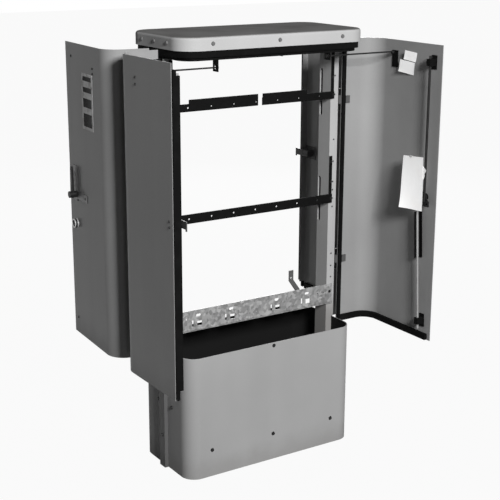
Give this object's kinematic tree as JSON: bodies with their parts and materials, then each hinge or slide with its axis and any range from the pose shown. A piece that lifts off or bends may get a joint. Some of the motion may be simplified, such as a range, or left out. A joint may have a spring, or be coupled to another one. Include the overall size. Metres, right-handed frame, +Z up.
{
  "type": "roadside utility cabinet",
  "caption": "Free-standing outdoor wiring cabinet: skirted base, uprights with rails, rounded roof cap and folded double doors front and rear with latch rods and stays.",
  "frame": {"origin": "on the ground in the middle of the base", "axes": "+X to the right along the front, +Y from the front to the rear, +Z up"},
  "size_m": [0.9916, 0.763, 1.4],
  "materials": {
    "paint": "satin grey",
    "black_paint": "satin black",
    "rubber": "matt",
    "galvanised": "galvanised",
    "plated_steel": "plated",
    "paper": "matt"
  },
  "bodies": {
    "frame": {"front_skirt": "paint", "rear_skirt": "paint", "front_anchor_angle": "black_paint", "rear_anchor_angle": "black_paint", "left_upright": "paint", "right_upright": "paint", "left_hinge_post": "paint", "right_hinge_post": "paint", "skirt_clips": "black_paint", "roof_cap": "paint", "header_frame": "black_paint", "roof_seal": "rubber", "upper_rail_left": "black_paint", "upper_rail_right": "black_paint", "upper_plates": "black_paint", "lower_rail": "black_paint", "rail_brackets": "black_paint", "cable_panel": "galvanised", "strap_hook": "black_paint", "frame_bolts": "plated_steel", "hinge_frame_leaves": "paint", "hinge_pins": "plated_steel", "stay_guides": "black_paint"},
    "front_right_door": {"front_right_door": "paint", "front_right_door_seal": "rubber", "front_right_hinge_leaves": "paint", "front_right_stay_bracket": "black_paint", "front_right_rod_guides": "black_paint", "front_right_lock_fittings": "plated_steel", "record_sheets": "paper"},
    "front_right_stay": {"front_right_stay": "plated_steel"},
    "front_right_handle": {"front_right_handle": "plated_steel", "front_right_latch_cam": "plated_steel"},
    "front_right_upper_rod": {"front_right_upper_rod": "plated_steel"},
    "front_right_lower_rod": {"front_right_lower_rod": "plated_steel"},
    "front_left_door": {"front_left_door": "paint", "front_left_door_seal": "rubber", "front_left_hinge_leaves": "paint", "front_left_stay_bracket": "black_paint", "front_left_meeting_seal": "rubber", "front_left_strike": "black_paint"},
    "front_left_stay": {"front_left_stay": "plated_steel"},
    "rear_left_door": {"rear_left_door": "paint", "rear_left_door_seal": "rubber", "rear_left_hinge_leaves": "paint", "rear_left_stay_bracket": "black_paint", "rear_left_rod_guides": "black_paint", "rear_left_lock_fittings": "plated_steel"},
    "rear_left_stay": {"rear_left_stay": "plated_steel"},
    "rear_left_handle": {"rear_left_handle": "plated_steel", "rear_left_latch_cam": "plated_steel"},
    "rear_left_upper_rod": {"rear_left_upper_rod": "plated_steel"},
    "rear_left_lower_rod": {"rear_left_lower_rod": "plated_steel"},
    "rear_right_door": {"rear_right_door": "paint", "rear_right_door_seal": "rubber", "rear_right_hinge_leaves": "paint", "rear_right_stay_bracket": "black_paint", "rear_right_meeting_seal": "rubber", "rear_right_strike": "black_paint"},
    "rear_right_stay": {"rear_right_stay": "plated_steel"}
  },
  "joints": [
    {"name": "front_right_door_hinge", "type": "hinge", "parent": "frame", "child": "front_right_door", "pos_m": [0.3395, -0.022, 0.8715], "axis": [0, 0, 1], "range_deg": [-90, 0]},
    {"name": "front_right_stay_pivot", "type": "hinge", "parent": "front_right_door", "child": "front_right_stay", "pos_m": [0.466, -0.135, 1.318], "axis": [0, 0, 1], "range_deg": [0, 47.5]},
    {"name": "front_right_handle_turn", "type": "hinge", "parent": "front_right_door", "child": "front_right_handle", "pos_m": [0.4805, -0.3135, 0.868], "axis": [-1, 0, 0], "range_deg": [0, 90]},
    {"name": "front_right_upper_rod_slide", "type": "slide", "parent": "front_right_door", "child": "front_right_upper_rod", "axis": [0, 0, 1], "range_m": [0, 0.0355]},
    {"name": "front_right_lower_rod_slide", "type": "slide", "parent": "front_right_door", "child": "front_right_lower_rod", "axis": [0, -0.0654, -0.9979], "range_m": [0, 0.0355]},
    {"name": "front_left_door_hinge", "type": "hinge", "parent": "frame", "child": "front_left_door", "pos_m": [-0.3395, -0.022, 0.8715], "axis": [0, 0, 1], "range_deg": [0, 90]},
    {"name": "front_left_stay_pivot", "type": "hinge", "parent": "front_left_door", "child": "front_left_stay", "pos_m": [-0.466, -0.135, 1.306], "axis": [0, 0, 1], "range_deg": [-47.5, 0]},
    {"name": "rear_left_door_hinge", "type": "hinge", "parent": "frame", "child": "rear_left_door", "pos_m": [-0.3395, 0.022, 0.8715], "axis": [0, 0, 1], "range_deg": [-86.5, 3.5]},
    {"name": "rear_left_stay_pivot", "type": "hinge", "parent": "rear_left_door", "child": "rear_left_stay", "pos_m": [-0.45887, 0.14251, 1.318], "axis": [0, 0, 1], "range_deg": [-1.84, 45.66]},
    {"name": "rear_left_handle_turn", "type": "hinge", "parent": "rear_left_door", "child": "rear_left_handle", "pos_m": [-0.46244, 0.32156, 0.868], "axis": [0.9981, -0.061, 0], "range_deg": [0, 90]},
    {"name": "rear_left_upper_rod_slide", "type": "slide", "parent": "rear_left_door", "child": "rear_left_upper_rod", "axis": [0, 0, 1], "range_m": [0, 0.0355]},
    {"name": "rear_left_lower_rod_slide", "type": "slide", "parent": "rear_left_door", "child": "rear_left_lower_rod", "axis": [0.004, 0.0653, -0.9979], "range_m": [0, 0.0355]},
    {"name": "rear_right_door_hinge", "type": "hinge", "parent": "frame", "child": "rear_right_door", "pos_m": [0.3395, 0.022, 0.8715], "axis": [0, 0, 1], "range_deg": [0, 90]},
    {"name": "rear_right_stay_pivot", "type": "hinge", "parent": "rear_right_door", "child": "rear_right_stay", "pos_m": [0.466, 0.135, 1.306], "axis": [0, 0, 1], "range_deg": [-47.5, 0]}
  ],
  "couplings": [
    {"joint": "front_right_stay_pivot", "follows": "front_right_door_hinge", "ratio": -0.525},
    {"joint": "front_right_upper_rod_slide", "follows": "front_right_handle_turn", "m_per_rad": 0.022508},
    {"joint": "front_right_lower_rod_slide", "follows": "front_right_handle_turn", "m_per_rad": 0.022508},
    {"joint": "front_left_stay_pivot", "follows": "front_left_door_hinge", "ratio": -0.525},
    {"joint": "rear_left_stay_pivot", "follows": "rear_left_door_hinge", "ratio": -0.525},
    {"joint": "rear_left_upper_rod_slide", "follows": "rear_left_handle_turn", "m_per_rad": 0.022508},
    {"joint": "rear_left_lower_rod_slide", "follows": "rear_left_handle_turn", "m_per_rad": 0.022508},
    {"joint": "rear_right_stay_pivot", "follows": "rear_right_door_hinge", "ratio": -0.525}
  ]
}
